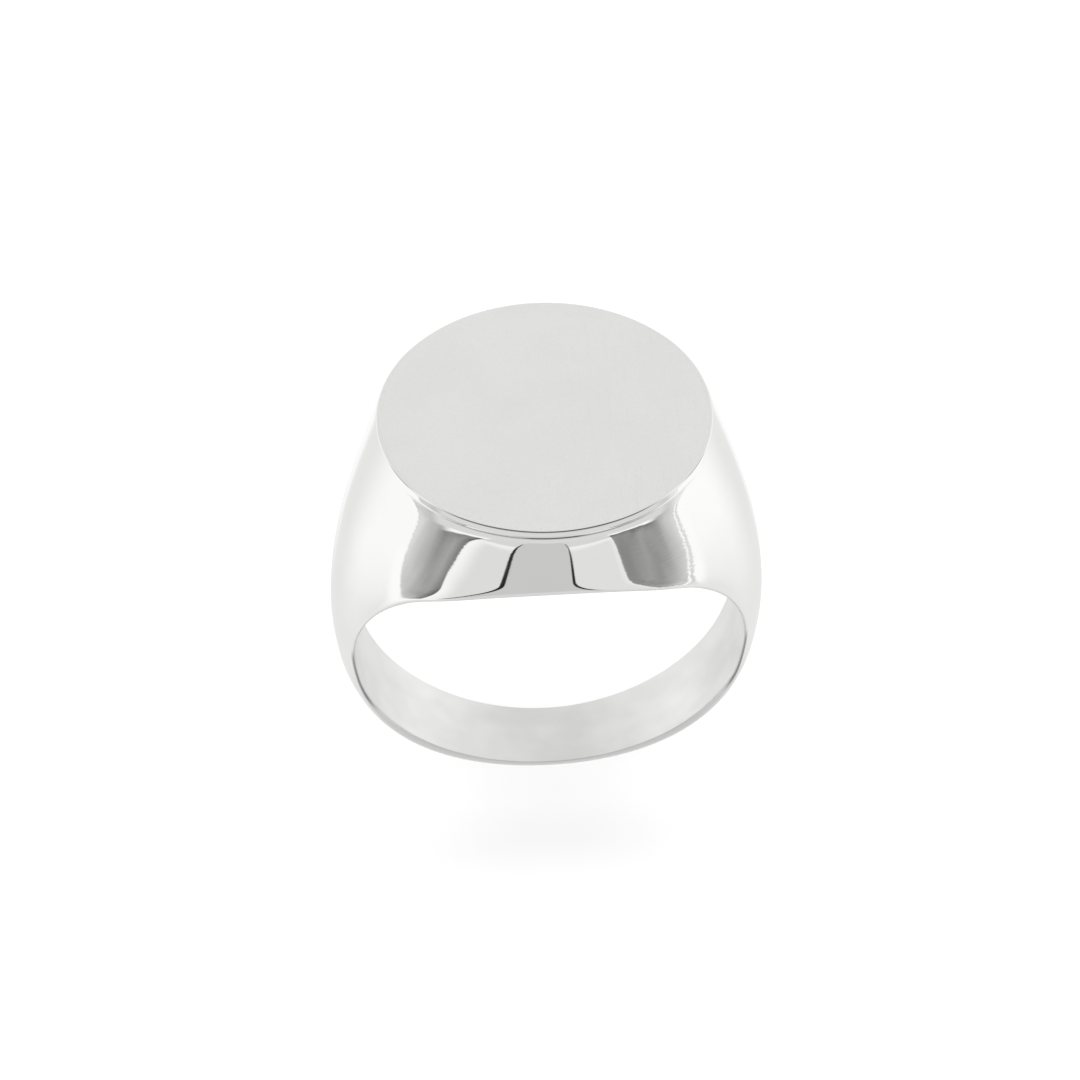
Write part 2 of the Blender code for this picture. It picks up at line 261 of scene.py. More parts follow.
def shank_middle(degrees):
    x, z = polar(float(MIDDLE_RADIUS(degrees)), degrees)
    return np.array([x, 0.0, z])


def head_middle(height):
    return np.array([float(HEAD_LENGTH(height)), 0.0, height])


def level_height(foot_height, level):
    """Levels up to 1 climb from the foot to the knee, and above 1 they are heights."""
    return foot_height + (KNEE_HEIGHT - foot_height) * level if level <= 1 else level


def climb(foot, top, level):
    """A point on the straight line from foot to top."""
    share = (level_height(foot[2], level) - foot[2]) / (top[2] - foot[2])
    return foot + (top - foot) * share


def head_levels():
    """Rows that crowd together at the knee, and then run level with the table plate's seam."""
    seam = TABLE_HEIGHT - GIRDLE_HEIGHT
    below = KNEE_HEIGHT + (seam - KNEE_HEIGHT) * crowded(SEAM_ROWS, at_end=0.8)[1:]
    above = seam + (TABLE_HEIGHT - seam) * crowded(RIM_ROWS, at_start=0.75, at_end=0.8)[1:]
    return [*crowded(HEAD_ROWS, at_start=0.5, at_end=0.2), *below, *above]


def arc_row(middle, edge, degrees, columns):
    """Points from the middle line to the edge, along an arc that turns by these degrees."""
    full = math.radians(degrees)
    drop = (1 - np.cos(full * columns)) / (1 - math.cos(full))
    across = np.sin(full * columns) / math.sin(full)
    return middle + (edge - middle) * np.stack([drop, across, drop], axis=1)


def band_rows(levels, columns):
    """Rows from the middle line to the hole's edge, and above its foot to the seam beside the head."""
    rows = []
    for degrees in np.linspace(-90.0, 0.0, SHANK_ROWS, endpoint=False):
        rows.append((shank_middle(degrees), hole_edge(degrees), SHANK_ARC))
    foot, top = hole_edge(FOOT_ANGLE), table_edge(HEAD_PLAN_ANGLE)
    foot_height = foot[2] + FOOT_LIFT
    for share in np.linspace(0.0, 1.0, FOOT_ROWS, endpoint=False):
        arc = SHANK_ARC + (HEAD_ARC - SHANK_ARC) * share
        rows.append((head_middle(foot_height * share), hole_edge(FOOT_ANGLE * share), arc))
    for level in levels:
        rows.append((head_middle(level_height(foot_height, level)), climb(foot, top, level), HEAD_ARC))
    return [arc_row(*row, columns) for row in rows]


def wall_rows(levels, columns):
    """Rows along the front wall, from the table's edge down to the hole's."""
    tops = [table_edge(HEAD_PLAN_ANGLE + (90.0 - HEAD_PLAN_ANGLE) * share) for share in columns]
    feet = [hole_edge(FOOT_ANGLE + (90.0 - FOOT_ANGLE) * share) for share in columns]
    return [[climb(foot, top, level) for foot, top in zip(feet, tops)] for level in levels[::-1]]


def quarter_grids():
    """Rough points of the band, the wall, the table and the hole, that still have to settle."""
    levels = head_levels()
    band = band_rows(levels, crowded(BAND_COLUMNS, at_end=0.35))
    wall = wall_rows(levels, np.linspace(0.0, 1.0, WALL_COLUMNS + 1))
    rim = [*band[-1], *wall[0][1:]]
    inward = 1 - crowded(TABLE_RINGS, at_start=0.9) * (1 - TABLE_MIDDLE)
    table = [[(x * share, y * share, TABLE_HEIGHT) for x, y, z in rim] for share in inward]
    edge = [row[-1] for row in band[: SHANK_ROWS + FOOT_ROWS]] + list(wall[-1])
    to_middle = 1 - crowded(HOLE_COLUMNS, at_start=0.5)
    hole = [[(x, y * share, z) for x, y, z in edge] for share in to_middle]
    return [np.array(grid) for grid in (band, wall, table, hole)]


def form_mesh():
    """The whole outer form: a settled quarter, mirrored to all four sides and welded."""
    bm = bmesh.new()
    for grid in quarter_grids():
        rows, columns = grid.shape[:2]
        settled = settle(grid.reshape(-1, 3)).reshape(grid.shape)
        for side_x in (1, -1):
            for side_y in (1, -1):
                signed = settled * (side_x, side_y, 1) * MM
                verts = [[bm.verts.new(point) for point in row] for row in signed]
                for low, high in zip(verts, verts[1:]):
                    for i in range(columns - 1):
                        bm.faces.new((low[i], low[i + 1], high[i + 1], high[i]))
    bmesh.ops.remove_doubles(bm, verts=bm.verts, dist=QUARTER_WELD)
    open_edges = [edge for edge in bm.edges if edge.is_boundary]
    bmesh.ops.holes_fill(bm, edges=open_edges, sides=0)
    bmesh.ops.recalc_face_normals(bm, faces=bm.faces)
    mesh = bpy.data.meshes.new("ring_form")
    bm.to_mesh(mesh)
    bm.free()
    return mesh


# The pieces: the form cut at the solder seams.


def evaluated_mesh(obj):
    bpy.context.view_layer.update()
    return bpy.data.meshes.new_from_object(obj.evaluated_get(bpy.context.evaluated_depsgraph_get()))


def clean(mesh):
    """Makes triangles of a cut mesh, and welds the slivers that the cut has left."""
    bm = bmesh.new()
    bm.from_mesh(mesh)
    bmesh.ops.triangulate(bm, faces=bm.faces)
    bmesh.ops.remove_doubles(bm, verts=bm.verts, dist=CUT_WELD)
    bmesh.ops.dissolve_degenerate(bm, edges=bm.edges, dist=CUT_WELD)
    bmesh.ops.triangulate(bm, faces=bm.faces)
    bm.to_mesh(mesh)
    bm.free()


def turned(degrees, axis):
    return Matrix.Rotation(math.radians(degrees), 3, axis)


def tool(name, bm):
    """A shape to cut with."""
    mesh = bpy.data.meshes.new(name)
    bmesh.ops.recalc_face_normals(bm, faces=bm.faces)
    bm.to_mesh(mesh)
    bm.free()
    obj = bpy.data.objects.new(name, mesh)
    bpy.context.scene.collection.objects.link(obj)
    return obj


def prism(name, outline, near, far):
    """A flat (x, z) outline run along Y from near to far."""
    bm = bmesh.new()
    face = bm.faces.new([bm.verts.new((x * MM, near * MM, z * MM)) for x, z in outline])
    grown = bmesh.ops.extrude_face_region(bm, geom=[face])["geom"]
    moved = [item for item in grown if isinstance(item, bmesh.types.BMVert)]
    bmesh.ops.translate(bm, verts=moved, vec=(0.0, (far - near) * MM, 0.0))
    return tool(name, bm)


def cylinder(name, half_length, half_width, low, high, lying=False):
    """A cylinder with an elliptical plan, upright, or lying along Y about the finger hole."""
    bm = bmesh.new()
    bmesh.ops.create_cone(
        bm, cap_ends=True, segments=ROUND_SEGMENTS, radius1=1.0, radius2=1.0, depth=(high - low) * MM
    )
    bmesh.ops.scale(bm, verts=bm.verts, vec=(half_length * MM, half_width * MM, 1.0))
    bmesh.ops.translate(bm, verts=bm.verts, vec=(0.0, 0.0, (low + high) / 2 * MM))
    if lying:
        bmesh.ops.rotate(bm, verts=bm.verts, cent=(0, 0, 0), matrix=turned(90.0, "X"))
    return tool(name, bm)


def cut(obj, operation, other):
    modifier = obj.modifiers.new(other.name, "BOOLEAN")
    modifier.operation = operation
    modifier.object = other
    modifier.solver = "MANIFOLD"


def head_seam(height):
    """Distance from the middle plane of the seam between a shoulder and the head, at this height."""
    foot, top = hole_edge(FOOT_ANGLE), table_edge(HEAD_PLAN_ANGLE)
    return foot[0] + (top[0] - foot[0]) * (height - foot[2]) / (top[2] - foot[2])


def plate_seam(side):
    """Height of the upper (1) or lower (-1) side of the seam under the table plate."""
    return TABLE_HEIGHT - GIRDLE_HEIGHT + side * SEAM_GAP / 2


def head_outline():
    half_gap, top = SEAM_GAP / 2, plate_seam(-1)
    wide, narrow = head_seam(SEAM_FLOOR) - half_gap, head_seam(top) - half_gap
    return [(-wide, SEAM_FLOOR), (wide, SEAM_FLOOR), (narrow, top), (-narrow, top)]


def shank_seam(distance, side):
    """A point on the upper (1) or lower (-1) side of the seam between the right shoulder and the shank."""
    x, z = polar(distance, SHANK_SEAM_ANGLE)
    return x, z + side * SEAM_GAP / 2 / math.cos(math.radians(SHANK_SEAM_ANGLE))


def shoulder_outline(side):
    half_gap, top = SEAM_GAP / 2, plate_seam(-1)
    points = [
        (head_seam(SEAM_FLOOR) + half_gap, SEAM_FLOOR),
        (head_seam(top) + half_gap, top),
        (FAR, top),
        shank_seam(FAR, 1),
        shank_seam(SEAM_START, 1),
    ]
    return [(side * x, z) for x, z in points]


def shank_outline():
    x, z = shank_seam(FAR, -1)
    return [(0.0, shank_seam(0.0, -1)[1]), (x, z), (FAR, -FAR), (-FAR, -FAR), (-x, z)]


def vertex_places(mesh):
    places = np.empty(len(mesh.vertices) * 3, np.float32)
    mesh.vertices.foreach_get("co", places)
    return places.reshape(-1, 3).astype(float) / MM


def unit(vectors):
    return vectors / np.maximum(np.linalg.norm(vectors, axis=1), 1e-9)[:, None]


def shade(mesh):
    """Gives outside faces the form's own smooth normals, so that no seam shows; cut faces stay flat."""
    places = vertex_places(mesh)
    smooth = unit(form_gradient(places))
    corners = np.array([loop.vertex_index for loop in mesh.loops])
    sizes = np.array([face.loop_total for face in mesh.polygons])
    face_of = np.repeat(np.arange(len(sizes)), sizes)
    centres = np.stack([np.bincount(face_of, places[corners, axis]) for axis in range(3)], axis=1)
    centres /= sizes[:, None]
    flat = np.array([face.normal for face in mesh.polygons])
    facing = (flat * unit(form_gradient(centres))).sum(axis=1)
    outside = (np.abs(ring_form(centres)) < SURFACE_TOLERANCE) & (facing > LEAST_FACING)
    normals = np.where(outside[face_of][:, None], smooth[corners], flat[face_of])
    mesh.polygons.foreach_set("use_smooth", np.ones(len(sizes), bool))
    mesh.normals_split_custom_set(normals.tolist())


def piece(name, material, steps):
    """Cuts one piece from the form, in the place of the CAD node it is named after."""
    obj = bpy.data.objects.new(name + "_fine", FORM)
    bpy.context.scene.collection.objects.link(obj)
    for operation, other in steps:
        cut(obj, operation, other)
    mesh = evaluated_mesh(obj)
    clean(mesh)
    obj.modifiers.clear()
    obj.data = mesh
    shade(mesh)
    mesh.materials.clear()
    mesh.materials.append(material)
    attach(obj, "root")
    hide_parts(name)


def build_pieces(satin, polished, brushed):
    keep, join, remove = "INTERSECT", "UNION", "DIFFERENCE"
    seam = plate_seam(1)
    half_length, half_width = CAVITY_HALF_LENGTH, TABLE_RADIUS - WALL_THICKNESS
    inner_length, inner_width = half_length - SEAM_GAP, half_width - SEAM_GAP
    narrow = head_seam(TABLE_HEIGHT) - SEAM_GAP
    back = BORE_RADIUS + LINER_THICKNESS
    # the plate, and the register on its underside that drops into the cavity
    above = prism("above", [(-FAR, seam), (FAR, seam), (FAR, FAR), (-FAR, FAR)], -FAR, FAR)
    register_top = seam + GIRDLE_HEIGHT / 2
    register = cylinder("register", inner_length, inner_width, seam - REGISTER_DEPTH, register_top)
    sides = prism("sides", [(-narrow, 0.0), (narrow, 0.0), (narrow, FAR), (-narrow, FAR)], -FAR, FAR)
    cut(register, keep, sides)
    # the walls about the cavity, and the liner beneath it
    cavity = cylinder("cavity", half_length, half_width, 0.0, FAR)
    front = prism("front", head_outline(), -FAR, 0.0)
    rear = prism("rear", head_outline(), 0.0, FAR)
    head = prism("head", head_outline(), -FAR, FAR)
    plan = cylinder("plan", inner_length, inner_width, 0.0, TABLE_HEIGHT)
    liner_back = cylinder("liner_back", back, back, -FAR / 2, FAR / 2, lying=True)
    # the shoulders and the shank
    left = prism("left", shoulder_outline(-1), -FAR, FAR)
    right = prism("right", shoulder_outline(1), -FAR, FAR)
    below = prism("below", shank_outline(), -FAR, FAR)
    piece("table_plate", satin, [(keep, above), (join, register)])
    piece("front_wall", polished, [(keep, front), (remove, cavity)])
    piece("back_wall", polished, [(keep, rear), (remove, cavity)])
    piece("left_shoulder", polished, [(keep, left)])
    piece("right_shoulder", polished, [(keep, right)])
    piece("inner_liner", brushed, [(keep, head), (keep, plan), (keep, liner_back)])
    piece("shank", polished, [(keep, below)])
    for obj in (above, register, sides, cavity, front, rear, head, plan, liner_back, left, right, below):
        bpy.data.objects.remove(obj)


# Shading, written as formulas. Materials work in millimetres on the ring itself.


class Term:
    """A number in a node tree, so that shading can be written as a formula."""

    def __init__(self, tree, source):
        self.tree = tree
        self.source = source

    def node(self, operation, *others):
        node = self.tree.nodes.new("ShaderNodeMath")
        node.operation = operation
        for socket, value in zip(node.inputs, (self, *others)):
            if isinstance(value, Term):
                self.tree.links.new(value.source, socket)
            else:
                socket.default_value = value
        return Term(self.tree, node.outputs[0])

    def __add__(self, other):
        return self.node("ADD", other)

    def __sub__(self, other):
        return self.node("SUBTRACT", other)

    def __mul__(self, other):
        return self.node("MULTIPLY", other)

    def __truediv__(self, other):
        return self.node("DIVIDE", other)

    def __rsub__(self, other):
        return self * -1.0 + other

    def __abs__(self):
        return self.node("ABSOLUTE")

    def step(self, low, high, at_low=0.0, at_high=1.0):
        """Turns smoothly from at_low to at_high as this goes from low to high."""
        node = self.tree.nodes.new("ShaderNodeMapRange")
        node.interpolation_type = "SMOOTHSTEP"
        self.tree.links.new(self.source, node.inputs["Value"])
        for name, value in (("From Min", low), ("From Max", high), ("To Min", at_low), ("To Max", at_high)):
            node.inputs[name].default_value = value
        return Term(self.tree, node.outputs["Result"])

    def fall(self, low, high):
        """1 below low, 0 above high."""
        return self.step(low, high, 1.0, 0.0)

    def mix(self, other, share):
        """This where share is 0, the other where it is 1."""
        return self + (other - self) * share

    def least(self, other):
        return self.node("MINIMUM", other)

    def most(self, other):
        return self.node("MAXIMUM", other)


def split(tree, source):
    node = tree.nodes.new("ShaderNodeSeparateXYZ")
    tree.links.new(source, node.inputs[0])
    return [Term(tree, socket) for socket in node.outputs]


def surface_places(tree):
    return tree.nodes.new("ShaderNodeTexCoord").outputs["Object"]


def surface_axes(tree):
    """X, Y and Z on the ring, in millimetres."""
    return [axis * (1 / MM) for axis in split(tree, surface_places(tree))]


def hole_distance(tree):
    """Distance from the finger hole's axis, in millimetres."""
    x, _, z = surface_axes(tree)
    return (x * x + z * z).node("SQRT")


def table_distance(tree):
    """Distance from the head's upright axis, in millimetres."""
    x, y, _ = surface_axes(tree)
    return (x * x + y * y).node("SQRT")


def noise(tree, per_mm, detail=2.0, turn=0.0):
    """Noise with so many features a millimetre along X, Y and Z, turned about Z."""
    mapping = tree.nodes.new("ShaderNodeMapping")
    mapping.inputs["Rotation"].default_value = (0.0, 0.0, math.radians(turn))
    mapping.inputs["Scale"].default_value = [count / MM for count in per_mm]
    tree.links.new(surface_places(tree), mapping.inputs["Vector"])
    texture = tree.nodes.new("ShaderNodeTexNoise")
    texture.inputs["Scale"].default_value = 1.0
    texture.inputs["Detail"].default_value = detail
    tree.links.new(mapping.outputs["Vector"], texture.inputs["Vector"])
    return Term(tree, texture.outputs["Fac"])


def silver(name, tint, roughness, height, lightness):
    """A metal whose roughness, relief in micrometres and lightness come from functions of its node tree."""
    material = bpy.data.materials.new(name)
    material.use_nodes = True
    tree = material.node_tree
    shader = tree.nodes["Principled BSDF"]
    shader.inputs["Metallic"].default_value = 1.0
    tree.links.new(roughness(tree).source, shader.inputs["Roughness"])
    colour = tree.nodes.new("ShaderNodeCombineColor")
    light = lightness(tree)
    for channel, share in zip(colour.inputs, tint):
        tree.links.new((light * share).source, channel)
    tree.links.new(colour.outputs[0], shader.inputs["Base Color"])
    bump = tree.nodes.new("ShaderNodeBump")
    bump.inputs["Strength"].default_value = 1.0
    bump.inputs["Distance"].default_value = MM / 1000
    tree.links.new(height(tree).source, bump.inputs["Height"])
    tree.links.new(bump.outputs[0], shader.inputs["Normal"])
    return material


# Where one finish turns into another, in millimetres from the hole's axis, from the head's or upwards.
INSIDE_EDGE = (BORE_RADIUS + 0.03, BORE_RADIUS + 0.1)
WORN_EDGE = (BORE_RADIUS + 0.1, BORE_RADIUS + 0.25)
WORN_SIDES = (BORE_RADIUS + 0.4, BORE_RADIUS + 0.7)
WORN_SIDES_TOP = (-2.5, 0.5)
RIPPLE_RIGHT, RIPPLE_LEFT, RIPPLE_FOOT = (2.2, 3.2), (5.4, 6.6), (5.0, 8.0)
# Where painted shade darkens the hole's edge low on each shoulder.
CORNER_NEAR = (BORE_RADIUS + 0.003, BORE_RADIUS + 0.02)
CORNER_FAR = (BORE_RADIUS + 0.12, BORE_RADIUS + 0.24)
CORNER_FOOT, CORNER_TOP = (-4.4, -3.0), (-0.2, 1.2)
# Where painted shade darkens the middle of the table plate's seam.
SEAM_SHADE_WIDTH, SEAM_SHADE_LENGTH = (0.02, 0.05), (0.9, 1.6)
SATIN_EDGE = (TABLE_RADIUS - 0.2, TABLE_RADIUS - 0.14)
SATIN_LEVEL = (TABLE_HEIGHT - 0.1, TABLE_HEIGHT - 0.04)
STROKES_START = (-1.0, 3.0)
STROKES_SLANT = -38.0


def brushing(tree):
    """Fine lines run round the inside of the hole."""
    return noise(tree, (0.6, 9.0, 0.6), 3.0)


def inside(tree):
    """1 on the inside of the finger hole, 0 on the outside."""
    return hole_distance(tree).fall(*INSIDE_EDGE)


def worn_edge(tree):
    """1 along the finger hole's edges and the sides of the shank, where the polish has gone."""
    distance = hole_distance(tree)
    _, _, z = surface_axes(tree)
    return distance.fall(*WORN_EDGE).most(distance.fall(*WORN_SIDES) * z.fall(*WORN_SIDES_TOP))


def polished_roughness(tree):
    patches = noise(tree, (0.35, 0.35, 0.35)).step(0.35, 0.7, 0.012, 0.045)
    worn = patches.mix(0.3, worn_edge(tree))
    return worn.mix(brushed_roughness(tree), inside(tree))


def polished_height(tree):
    """Slow waves, level ripples on the walls that are strongest at both sides, and hairlines."""
    x, _, z = surface_axes(tree)
    wave = noise(tree, (0.7, 0.7, 0.7), 1.0) * 1.6
    sides = x.step(*RIPPLE_RIGHT, 0.0, 3.0).most((x * -1.0).step(*RIPPLE_LEFT, 0.0, 1.8))
    ripple = noise(tree, (1.3, 1.3, 6.5), 1.0) * (sides * z.step(*RIPPLE_FOOT) + 0.5)
    patches = noise(tree, (0.3, 0.3, 0.3)).step(0.45, 0.6, 0.4, 1.0)
    hairlines = noise(tree, (1.2, 14.0, 14.0), 2.0) * 0.05
    outside = wave + ripple * patches + hairlines
    return outside.mix(brushed_height(tree), inside(tree))


def painted_corner_shade(tree):
    """1 on the hole's edge low on each shoulder, where the lightness is lowered as painted shade."""
    distance = hole_distance(tree)
    _, _, z = surface_axes(tree)
    edge = distance.step(*CORNER_NEAR) * distance.fall(*CORNER_FAR)
    return edge * z.step(*CORNER_FOOT) * z.fall(*CORNER_TOP)


def painted_seam_shade(tree):
    """1 in the middle of the table plate's seam, where the lightness is lowered as painted shade in its
    groove.
    """
    x, _, z = surface_axes(tree)
    seam = abs(z - (TABLE_HEIGHT - GIRDLE_HEIGHT)).fall(*SEAM_SHADE_WIDTH)
    return seam * abs(x).fall(*SEAM_SHADE_LENGTH)


def polished_lightness(tree):
    tarnish = noise(tree, (0.22, 0.22, 0.22), 3.0).step(0.3, 0.75, 1.0, 0.965)
    # Painted shade darkens the hole's edge low on each shoulder and the middle of the table plate's seam.
    worn = tarnish.mix(0.97, worn_edge(tree)).mix(0.4, painted_corner_shade(tree)).mix(0.3, painted_seam_shade(tree))
    return worn.mix(brushed_lightness(tree), inside(tree))


def brushed_roughness(tree):
    return brushing(tree).step(0.3, 0.7, 0.29, 0.38)


def brushed_height(tree):
    return brushing(tree) * 0.05 + noise(tree, (0.4, 0.4, 0.4), 1.0) * 5.0 + frost(tree) * 0.4


def brushed_lightness(tree):
    cloud = noise(tree, (0.3, 0.4, 0.3), 2.0).step(0.3, 0.7, 0.855, 0.955)
    return cloud + frost(tree).step(0.3, 0.7, -0.012, 0.012)


def satin_mask(tree):
    """1 on the table's frosted face, 0 on the polished rim about it."""
    _, _, z = surface_axes(tree)
    return table_distance(tree).fall(*SATIN_EDGE) * z.step(*SATIN_LEVEL)


def frost(tree):
    """The fine grain of a frosted or brushed face."""
    return noise(tree, (22.0, 22.0, 22.0), 2.0)


def strokes(tree):
    """Faint slanting lines, only to the right of the middle."""
    x, _, _ = surface_axes(tree)
    lines = noise(tree, (9.0, 0.5, 1.0), 2.0, turn=STROKES_SLANT).step(0.58, 0.72)
    return lines * x.step(*STROKES_START)


def satin_roughness(tree):
    face = frost(tree).step(0.3, 0.7, 0.36, 0.46) - strokes(tree) * 0.04
    return polished_roughness(tree).mix(face, satin_mask(tree))


def satin_height(tree):
    face = frost(tree) * 1.1 + strokes(tree) * 0.5
    return polished_height(tree).mix(face, satin_mask(tree))


def satin_lightness(tree):
    cloud = noise(tree, (0.3, 0.3, 0.3), 3.0).step(0.3, 0.7, 0.905, 0.925)
    face = cloud + frost(tree).step(0.3, 0.7, -0.025, 0.025) - strokes(tree) * 0.02
    return polished_lightness(tree).mix(face, satin_mask(tree))


SILVER_TINT = (0.955, 0.955, 0.943)


# The camera, the floor and the light.

CAMERA_DISTANCE = 130.0
CAMERA_ELEVATION = 48.003
CAMERA_TURN = 3.089
CAMERA_ROLL = 0.761
AIM_UP, AIM_LEFT = 1.578, 0.152  # how far the line of sight passes beside the finger hole's centre
LENS = 87.45
SENSOR_WIDTH = 36.0
NEAREST_SEEN = 0.001  # metres
FLOOR_DEPTH = 13.8  # below the finger hole's centre
FLOOR_HALF_SIZE = 2.0  # metres
PAPER_WHITE = 0.95
PAPER_ROUGHNESS = 0.9
ROOM_LIGHT = 1.28


def add_camera():
    elevation, turn = math.radians(CAMERA_ELEVATION), math.radians(CAMERA_TURN)
    ahead = Vector((math.sin(turn), math.cos(turn), 0.0))
    up = Vector((0.0, 0.0, 1.0))
    outward = up * math.sin(elevation) - ahead * math.cos(elevation)
    upward = up * math.cos(elevation) + ahead * math.sin(elevation)
    level = Matrix((upward.cross(outward), upward, outward)).transposed()
    aimed = level @ turned(-CAMERA_ROLL, "Z") @ turned(AIM_UP, "X") @ turned(AIM_LEFT, "Y")
    camera = bpy.data.objects.new("camera", bpy.data.cameras.new("camera"))
    camera.data.lens = LENS
    camera.data.sensor_width = SENSOR_WIDTH
    camera.data.clip_start = NEAREST_SEEN
    camera.matrix_world = Matrix.Translation(outward * CAMERA_DISTANCE * MM) @ aimed.to_4x4()
    bpy.context.scene.collection.objects.link(camera)
    bpy.context.scene.camera = camera


def add_floor():
    mesh = bpy.data.meshes.new("floor")
    bm = bmesh.new()
    bmesh.ops.create_grid(bm, x_segments=1, y_segments=1, size=FLOOR_HALF_SIZE)
    bmesh.ops.translate(bm, verts=bm.verts, vec=(0.0, 0.0, -FLOOR_DEPTH * MM))
    bm.to_mesh(mesh)
    bm.free()
    floor = bpy.data.objects.new("floor", mesh)
    material = bpy.data.materials.new("white_paper")
    material.use_nodes = True
    shader = material.node_tree.nodes["Principled BSDF"]
    shader.inputs["Base Color"].default_value = (PAPER_WHITE, PAPER_WHITE, PAPER_WHITE, 1.0)
    shader.inputs["Roughness"].default_value = PAPER_ROUGHNESS
    mesh.materials.append(material)
    bpy.context.scene.collection.objects.link(floor)
    floor.visible_glossy = False


# The studio that the metal mirrors. Pairs are the places between which one thing turns into the next: turns
# from the front, elevations, or distances on the table for each unit of the ring's height above it.
MIDDLE = (-5.0, 5.0)  # azimuths, positive to the right
LEFT_START, LEFT_SPREAD, LEFT_MOST = 0.36, 0.88, 1.01  # near edge of the left screen
RIGHT_START, RIGHT_SPREAD = 0.37, 0.4  # and of the right one
SCREEN_EDGE = (-0.012, 0.012)
SCREEN_TOP, SCREEN_TOP_ENDS = (-32.0, -31.0), (58.0, 68.0)
GREY_WALL, GREY_WALL_ENDS = (-29.5, -27.0), (66.0, 74.0)
FOLDS_SCALE, FOLDS_DEPTH = 7.0, 0.3
CUT_START, CUT_CORNER, CUT_LONGEST = 0.3, 1.15, 0.5  # near ends of the screens, cut slanting at the corners
LEFT_CUT, RIGHT_CUT = 0.14, 0.34
CUT_EDGE = (-0.015, 0.015)
BRIGHT_EDGE, BRIGHT_WIDTH = 0.055, (0.008, 0.02)
PAPER_FOLD, PAPER_END = (1.0, 1.09), (1.13, 1.2)
CARD_LEFT, CARD_RIGHT = -0.41, 0.212
CARD_EDGE = (-0.006, 0.006)
STAND_END = (1.35, 1.55)
TENT_FOOT, TENT_SIDE, TENT_NEAR = (-50.0, -27.0), (104.0, 138.0), (0.1, 0.22)
BACK_WALL, BACK_WALL_FOOT = (146.0, 158.0), (-46.0, -38.0)
STRAIGHT_DOWN = (-75.0, -62.0)
ROOM_SIDE, ROOM_LEVEL = (52.0, 80.0), (4.0, 26.0)
CEILING_BACK, CEILING_TOP = (8.0, 42.0), (62.0, 85.0)
FLAG_FRONT, FLAG_BACK, FLAG_TOP = (82.0, 92.0), (104.0, 114.0), (14.0, 34.0)
HORIZON = (-14.0, -4.0)


class Ray:
    """Which way a mirrored ray goes: angles in degrees, and where it meets the table the ring stands on."""

    def __init__(self, tree):
        coordinates = tree.nodes.new("ShaderNodeTexCoord").outputs["Generated"]
        x, y, z = split(tree, coordinates)
        self.azimuth = x.node("ARCTAN2", y * -1.0) * math.degrees(1.0)  # 0 in front, positive to the right
        self.elevation = z.node("ARCSINE") * math.degrees(1.0)
        self.turn = abs(self.azimuth)
        self.right_half = self.azimuth.step(*MIDDLE)
        # Across and ahead on the table, for each unit of height above it.
        drop = (z * -1.0).most(0.02)
        self.across, self.ahead = x / drop, y / drop * -1.0
        # How far in behind the slanting near edges of the left and the right screen.
        self.left = self.across * -1.0 - (self.ahead * LEFT_SPREAD + LEFT_START).least(LEFT_MOST)
        self.right = self.across - (self.ahead * RIGHT_SPREAD + RIGHT_START)
        folds = tree.nodes.new("ShaderNodeTexNoise")
        folds.inputs["Scale"].default_value = FOLDS_SCALE
        tree.links.new(coordinates, folds.inputs["Vector"])
        self.folds = Term(tree, folds.outputs["Fac"]) - 0.5


def tent(ray):
    """White cloth all round, darker low down and beside the white back wall."""
    cloth = ray.elevation.step(*TENT_FOOT, 0.84, 1.02).mix(0.83, ray.turn.step(*TENT_SIDE))
    cloth = cloth.mix(1.0, ray.turn.step(*BACK_WALL) * ray.elevation.step(*BACK_WALL_FOOT))
    return cloth.mix(1.02, ray.ahead.step(*TENT_NEAR))


def paper(ray):
    """White paper between the screens, with a bright fold at its far edge."""
    left = ray.left.step(-0.28, -0.02, 0.75, 0.97)
    right = ray.right.step(-0.08, -0.02, 0.77, 0.84)
    sheet = left.mix(right, ray.right_half)
    return sheet.mix(0.9, ray.ahead.step(*PAPER_FOLD)).mix(0.7, ray.ahead.step(*PAPER_END))


def card_on(sheet, ray):
    """The grey card before the lens, and the black edges of its stand, which narrow with the distance."""
    right_side = ray.across.fall(CARD_RIGHT - 0.022, CARD_RIGHT + 0.003)
    card = ray.across.step(CARD_LEFT, CARD_LEFT + 0.025) * right_side
    left_edge = (abs(ray.across - CARD_LEFT) - ray.ahead.step(0.85, 1.35, 0.022, 0.01)).fall(*CARD_EDGE)
    right_edge = (abs(ray.across - CARD_RIGHT) - ray.ahead.step(0.8, 1.1, 0.015, 0.007)).fall(*CARD_EDGE)
    shown = sheet.mix(ray.ahead.step(1.7, 1.9, 0.6, 0.8), card)
    return shown.mix(0.02, left_edge.most(right_edge) * ray.ahead.fall(*STAND_END))


def screens_on(sheet, ray):
    """The two dark screens, softly folded, with a white edge along the top and a grey wall above it."""
    left = (ray.azimuth * -1.0).step(63.0, 80.0, 0.37, 0.7) - ray.left.step(0.0, 0.16, 0.2, 0.0)
    right = ray.azimuth.step(56.0, 82.0, 0.3, 0.77)
    dark = left.mix(right, ray.right_half) + ray.folds * FOLDS_DEPTH
    dark = dark - ray.elevation.step(-37.0, -32.0, 0.0, 0.1) * ray.turn.fall(60.0, 70.0)
    screens = ray.left.step(*SCREEN_EDGE).most(ray.right.step(*SCREEN_EDGE))
    white_edge = ray.elevation.step(*SCREEN_TOP) * ray.turn.fall(*SCREEN_TOP_ENDS) * screens
    grey_wall = ray.elevation.step(*GREY_WALL) * ray.turn.fall(*GREY_WALL_ENDS)
    return sheet.mix(dark, screens).mix(1.0, white_edge).mix(0.72, grey_wall)


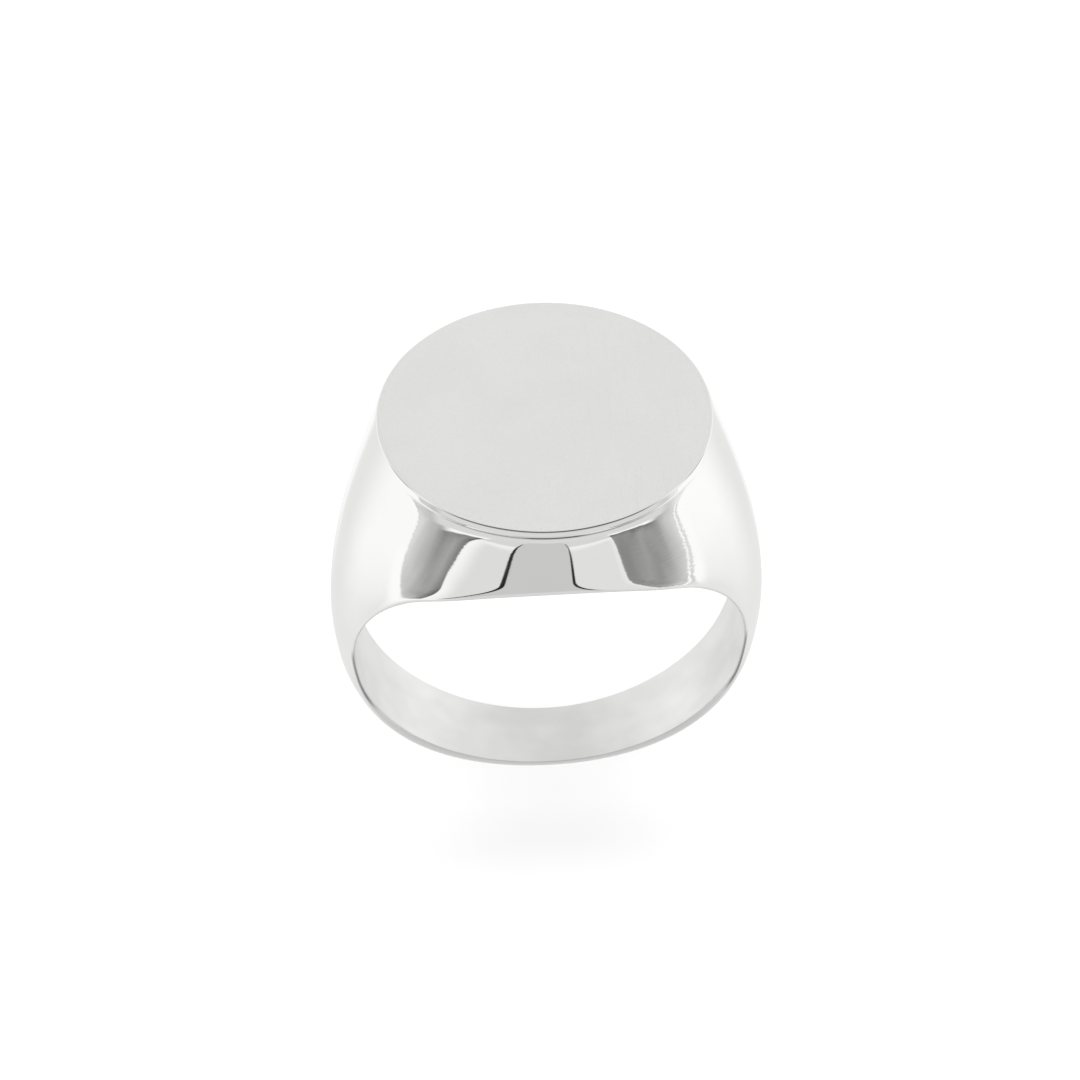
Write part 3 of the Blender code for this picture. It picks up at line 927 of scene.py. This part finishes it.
def lower_half(ray):
    """The table before the ring as far as the screens' near ends, cut slanting, and the tent elsewhere."""
    front = screens_on(card_on(paper(ray), ray), ray)
    corner = (abs(ray.across) * -1.0 + CUT_CORNER).most(0.0).least(CUT_LONGEST)
    end = ray.ahead + corner * ray.azimuth.step(*MIDDLE, LEFT_CUT, RIGHT_CUT) - CUT_START
    bright_edge = abs(end - BRIGHT_EDGE).fall(*BRIGHT_WIDTH) * ray.right_half
    shown = front.mix(1.0, bright_edge).mix(tent(ray), end.fall(*CUT_EDGE))
    return shown.mix(0.72, ray.elevation.fall(*STRAIGHT_DOWN))


def upper_half(ray):
    """A grey ceiling behind, two dark flags beside it, and the dark room around the camera in front."""
    flags = ray.turn.step(*FLAG_FRONT) * ray.turn.fall(*FLAG_BACK) * ray.elevation.fall(*FLAG_TOP)
    back = ray.elevation.step(*CEILING_BACK, 1.0, 0.77).mix(0.42, flags)
    room = ray.elevation.step(*ROOM_LEVEL, 0.3, 0.1).mix(back, ray.turn.step(*ROOM_SIDE))
    return room.mix(0.78, ray.elevation.step(*CEILING_TOP))


def studio_brightness(tree):
    """What the metal mirrors: a white tent round a table with two dark screens and a grey card on it."""
    ray = Ray(tree)
    return lower_half(ray).mix(upper_half(ray), ray.elevation.step(*HORIZON))


def add_light():
    """The studio as mirrors see it, and plain white light for everything else."""
    world = bpy.data.worlds.new("studio")
    world.use_nodes = True
    tree = world.node_tree
    background = tree.nodes["Background"]
    background.inputs["Color"].default_value = (1.0, 1.0, 1.0, 1.0)
    mirrored = Term(tree, tree.nodes.new("ShaderNodeLightPath").outputs["Is Glossy Ray"])
    strength = (studio_brightness(tree) - ROOM_LIGHT) * mirrored + ROOM_LIGHT
    tree.links.new(strength.source, background.inputs["Strength"])
    bpy.context.scene.world = world
    bpy.context.scene.view_settings.view_transform = "Standard"


FORM = form_mesh()
build_pieces(
    silver("satin_silver", SILVER_TINT, satin_roughness, satin_height, satin_lightness),
    silver("polished_silver", SILVER_TINT, polished_roughness, polished_height, polished_lightness),
    silver("brushed_silver", SILVER_TINT, brushed_roughness, brushed_height, brushed_lightness),
)
add_camera()
add_floor()
add_light()
